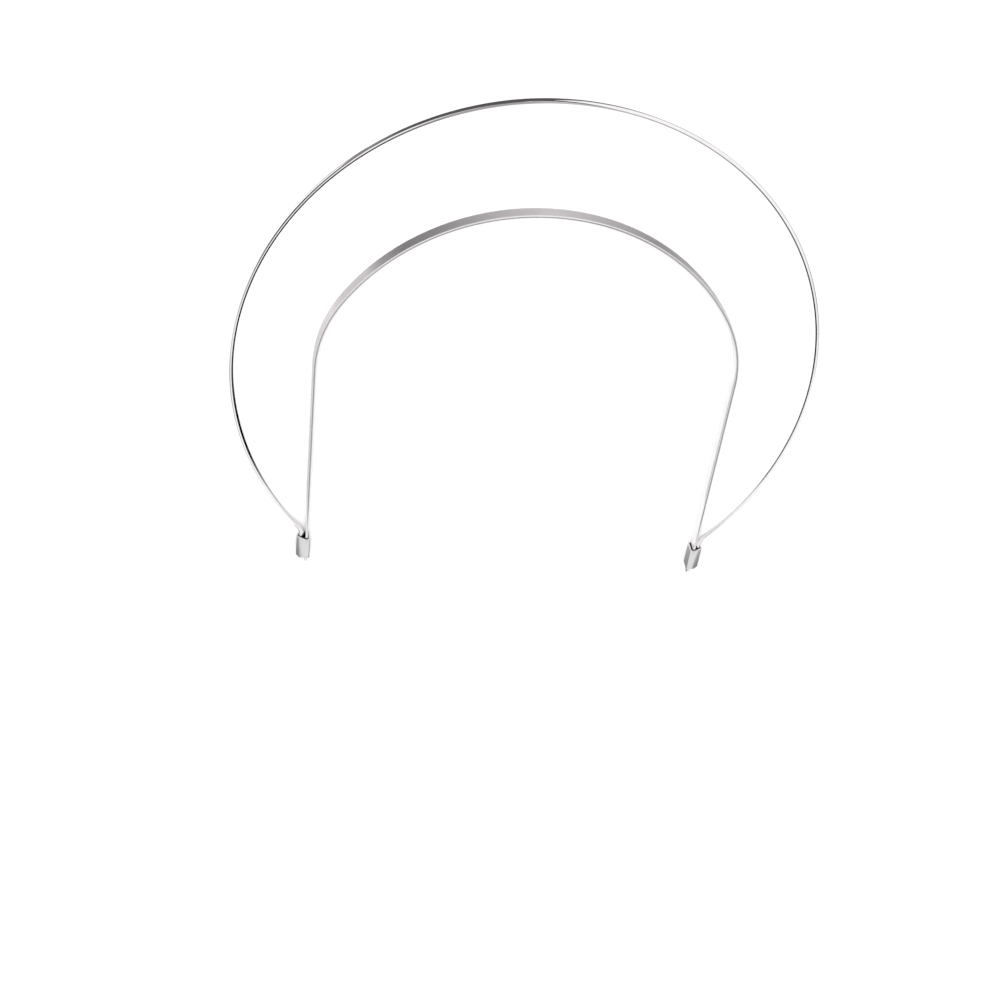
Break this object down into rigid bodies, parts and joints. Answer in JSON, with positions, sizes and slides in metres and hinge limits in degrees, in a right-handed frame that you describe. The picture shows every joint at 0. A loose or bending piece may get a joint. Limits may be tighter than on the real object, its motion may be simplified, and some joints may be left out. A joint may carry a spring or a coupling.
{
  "type": "halo headband",
  "caption": "Costume halo headband: an open hoop of polished wire standing around a flat metal headband, its ends held to the legs by plain sleeves.",
  "frame": {"origin": "under the middle of the object's outline, on the surface that it lies on with its front up", "axes": "+Z out of the front, +Y from the legs' tips towards the halo's top, +X to the right as seen from the front"},
  "size_m": [0.22, 0.201, 0.006],
  "materials": {
    "polished_wire": "mirror-polished silver-coloured wire with faint drawing lines",
    "polished_strip": "polished silver-coloured strip, a little softer than the wire, with fine lengthwise lines",
    "satin_sleeve": "plain satin silver-coloured metal"
  },
  "bodies": {
    "root": {"headband": "polished_strip", "halo_ring": "polished_wire", "ring_sleeve_left": "satin_sleeve", "ring_sleeve_right": "satin_sleeve"}
  },
  "joints": []
}
